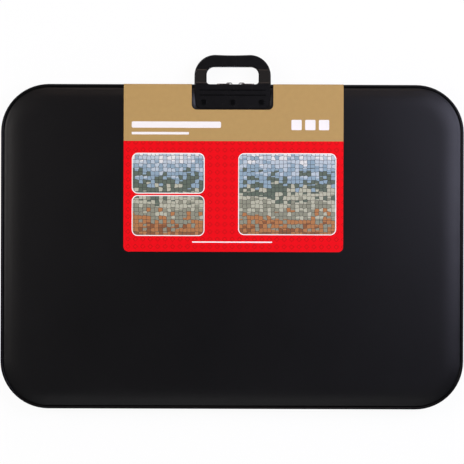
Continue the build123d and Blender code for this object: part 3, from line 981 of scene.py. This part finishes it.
# %% Panels of coloured tiles
# Centre, half size and corner of each, in millimetres on the flat card.
PANELS = [((96, 92), (84, 70), 9), ((-112, 128), (62, 34), 9), ((-112, 54), (62, 34), 9)]
TILE = 7.0
BORDER = 1.6
WHITE = linear("#F4F2EC")
tiles = add_node(
    tree,
    "TexVoronoi",
    {"Vector": flat, "Scale": 1 / TILE, "Randomness": 0.35},
    voronoi_dimensions="2D",
)
joints = add_node(
    tree,
    "TexVoronoi",
    {"Vector": flat, "Scale": 1 / TILE, "Randomness": 0.35},
    voronoi_dimensions="2D",
    feature="DISTANCE_TO_EDGE",
)
height = add_node(tree, "SeparateXYZ", {"Vector": flat})
scatter = add_node(tree, "SeparateColor", {"Color": tiles.outputs["Color"]})
level = add_node(
    tree,
    "Math",
    {0: scatter.outputs["Red"], 1: 46.0, 2: height.outputs["Y"]},
    operation="MULTIPLY_ADD",
)
share = add_node(tree, "MapRange", {"Value": level.outputs[0], "From Min": 22.0, "From Max": 210.0})
palette = add_node(tree, "ValToRGB", {"Fac": share.outputs[0]})
palette.color_ramp.interpolation = "CONSTANT"
STOPS = ["#8A5B3C", "#B07A4E", "#8D8F7C", "#B7B8A2", "#5F6B5E", "#8FA7B4", "#B9C6CC", "#DFE1DC"]
for number, code in enumerate(STOPS):
    if number < 2:
        element = palette.color_ramp.elements[number]
        element.position = number / len(STOPS)
    else:
        element = palette.color_ramp.elements.new(number / len(STOPS))
    element.color = linear(code)
gap = add_node(tree, "Math", {0: joints.outputs["Distance"], 1: 0.045}, operation="LESS_THAN")
picture = lay_over(tree, palette.outputs[0], gap.outputs[0], linear("#3A3D3A"))
for centre, half_size, corner in PANELS:
    bordered = (half_size[0] + BORDER, half_size[1] + BORDER)
    edging = panel_mask(tree, flat, centre, bordered, corner + BORDER)
    colour = lay_over(tree, colour, edging, WHITE)
    colour = lay_over(tree, colour, panel_mask(tree, flat, centre, half_size, corner), picture)
print("panels:", len(PANELS))

# %% Plain bars and dots
WHITE_SHAPES = [
    ((-98, 213), (78, 5.5), 2.5),
    ((-126, 198), (50, 2.2), 1.0),
    ((112, 213), (9, 9), 2.0),
    ((136, 213), (9, 9), 2.0),
    ((160, 213), (9, 9), 2.0),
    ((0, 8), (70, 1.1), 1.0),
]
for centre, half_size, corner in WHITE_SHAPES:
    colour = lay_over(tree, colour, panel_mask(tree, flat, centre, half_size, corner), WHITE)
tree.links.new(colour, shader.inputs["Base Color"])
card_edge = solid_finish("cut_card_edge", "#D3B377", 0.85, 0.05, 0.8, 0.02)
card_back = solid_finish("card_back", "#B9B2A3", 0.9, 0.04, 1.5, 0.02)
label = add_piece(
    card,
    "hang_card",
    "lid",
    [card_print, card_edge, card_back],
    "printed_card",
    ["label_card"],
    smooth_angle=50,
)
thick = label.modifiers.new("card", "SOLIDIFY")
thick.thickness = CARD_THICK
thick.offset = 1
thick.material_offset = 2
thick.material_offset_rim = 1
print(label.name, len(label.data.polygons), "faces")

# %% [markdown]
# ## Floor, light and camera
#
# The case was photographed from the front on white. Here it lies on a pale floor, seen from straight above
# through a long lens. Black leathercloth shows mostly what it reflects: straight up there is only dim grey,
# so the flat of the cover stays dark, and soft boxes all round draw the pale bands along its crowned edges.
# There is a higher and a lower one on each side, two beyond the handle and three beyond the spine. Those on
# the right are the strongest and the coolest, and the side ones stand nearer to the handle's end, so that
# the bands fade towards the spine. Most of the floor's white comes from Light Path's Is Camera Ray, and it
# puts no more light on the case.

# %% Floor and world
WHITE_SHARE = 0.94
FLOOR_HALF = 6.0
FLOOR_GAP = 0.2 * MM

bm = bmesh.new()
bmesh.ops.create_grid(bm, x_segments=1, y_segments=1, size=FLOOR_HALF)
mesh = bpy.data.meshes.new("floor")
bm.to_mesh(mesh)
bm.free()
floor = bpy.data.objects.new("floor", mesh)
bpy.context.scene.collection.objects.link(floor)
floor.location.z = -FLOOR_GAP
pale, tree, shader, _ = start_material("pale_floor", "#FAFAFA", 0.9)
seen = add_node(tree, "LightPath", {})
glow = add_node(tree, "Emission", {"Color": (1, 1, 1, 1), "Strength": 1.0})
whitened = add_node(
    tree, "Math", {0: seen.outputs["Is Camera Ray"], 1: WHITE_SHARE}, operation="MULTIPLY"
)
blended = add_node(
    tree, "MixShader", {0: whitened.outputs[0], 1: shader.outputs[0], 2: glow.outputs[0]}
)
tree.links.new(blended.outputs[0], tree.nodes["Material Output"].inputs["Surface"])
mesh.materials.append(pale)

world = bpy.data.worlds.new("studio")
bpy.context.scene.world = world
world.use_nodes = True
tree = world.node_tree
direction = tree.nodes.new("ShaderNodeTexCoord").outputs["Generated"]
upward = add_node(tree, "SeparateXYZ", {"Vector": direction})
strength = add_node(
    tree,
    "MapRange",
    {"Value": upward.outputs["Z"], "From Min": 0.05, "From Max": 0.8, "To Min": 0.28, "To Max": 0.05},
)
seen = add_node(tree, "LightPath", {})
background = add_node(
    tree, "Math", {0: seen.outputs["Is Camera Ray"], 1: strength.outputs[0]}, operation="MAXIMUM"
)
tree.nodes["Background"].inputs["Color"].default_value = (1, 1, 1, 1)
tree.links.new(background.outputs[0], tree.nodes["Background"].inputs["Strength"])

# %% Soft boxes
# Each has its place and size in metres, its power in watts and its tint.
SOFT_BOXES = {
    "left_box": ((-1.45, 0.25, 1.75), (0.8, 1.7), 7.5, "#FFF8F4"),
    "left_low_box": ((-1.9, 0.45, 1.5), (0.8, 1.7), 18, "#FFFAF8"),
    "right_box": ((1.2, 0.42, 1.8), (0.9, 1.2), 30, "#E2E2FF"),
    "right_low_box": ((1.8, 0.45, 1.3), (0.8, 1.2), 6, "#E6E4FF"),
    "far_box": ((0.0, 1.55, 2.15), (1.3, 0.8), 10, "#FFE2D2"),
    "far_low_box": ((0.0, 2.2, 1.5), (1.5, 0.8), 3, "#FFF0E6"),
    "near_box": ((0.0, -1.6, 2.0), (1.5, 0.7), 3, "#FFFFFF"),
    "near_low_box": ((0.0, -2.2, 1.4), (1.5, 0.8), 6, "#FFFFFF"),
    "near_high_box": ((0.0, -1.1, 2.4), (1.5, 0.3), 3, "#FFFFFF"),
}
for name, (place, size, power, tint) in SOFT_BOXES.items():
    lamp = bpy.data.lights.new(name, "AREA")
    lamp.shape = "RECTANGLE"
    lamp.size, lamp.size_y = size
    lamp.energy = power
    lamp.color = linear(tint)[:3]
    holder = bpy.data.objects.new(name, lamp)
    bpy.context.scene.collection.objects.link(holder)
    holder.location = place
    holder.rotation_euler = (-Vector(place)).to_track_quat("-Z", "Y").to_euler()
print("soft boxes:", len(SOFT_BOXES))

# %% Camera
VIEW_WIDTH = 810.6 * MM
VIEW_CENTRE = Vector((-0.25, 25.7)) * MM
CAMERA_HEIGHT = 4.0
ROLL = math.radians(0.18)
lens = bpy.data.cameras.new("camera")
lens.sensor_width = 36
lens.lens = lens.sensor_width * (CAMERA_HEIGHT - 2 * PARTING) / VIEW_WIDTH
lens.clip_end = 20
camera = bpy.data.objects.new("camera", lens)
bpy.context.scene.collection.objects.link(camera)
camera.location = (*VIEW_CENTRE, CAMERA_HEIGHT)
camera.rotation_euler = Euler((0, 0, ROLL))
bpy.context.scene.camera = camera
bpy.context.scene.view_settings.view_transform = "Standard"
print(f"lens {lens.lens:.0f} mm")
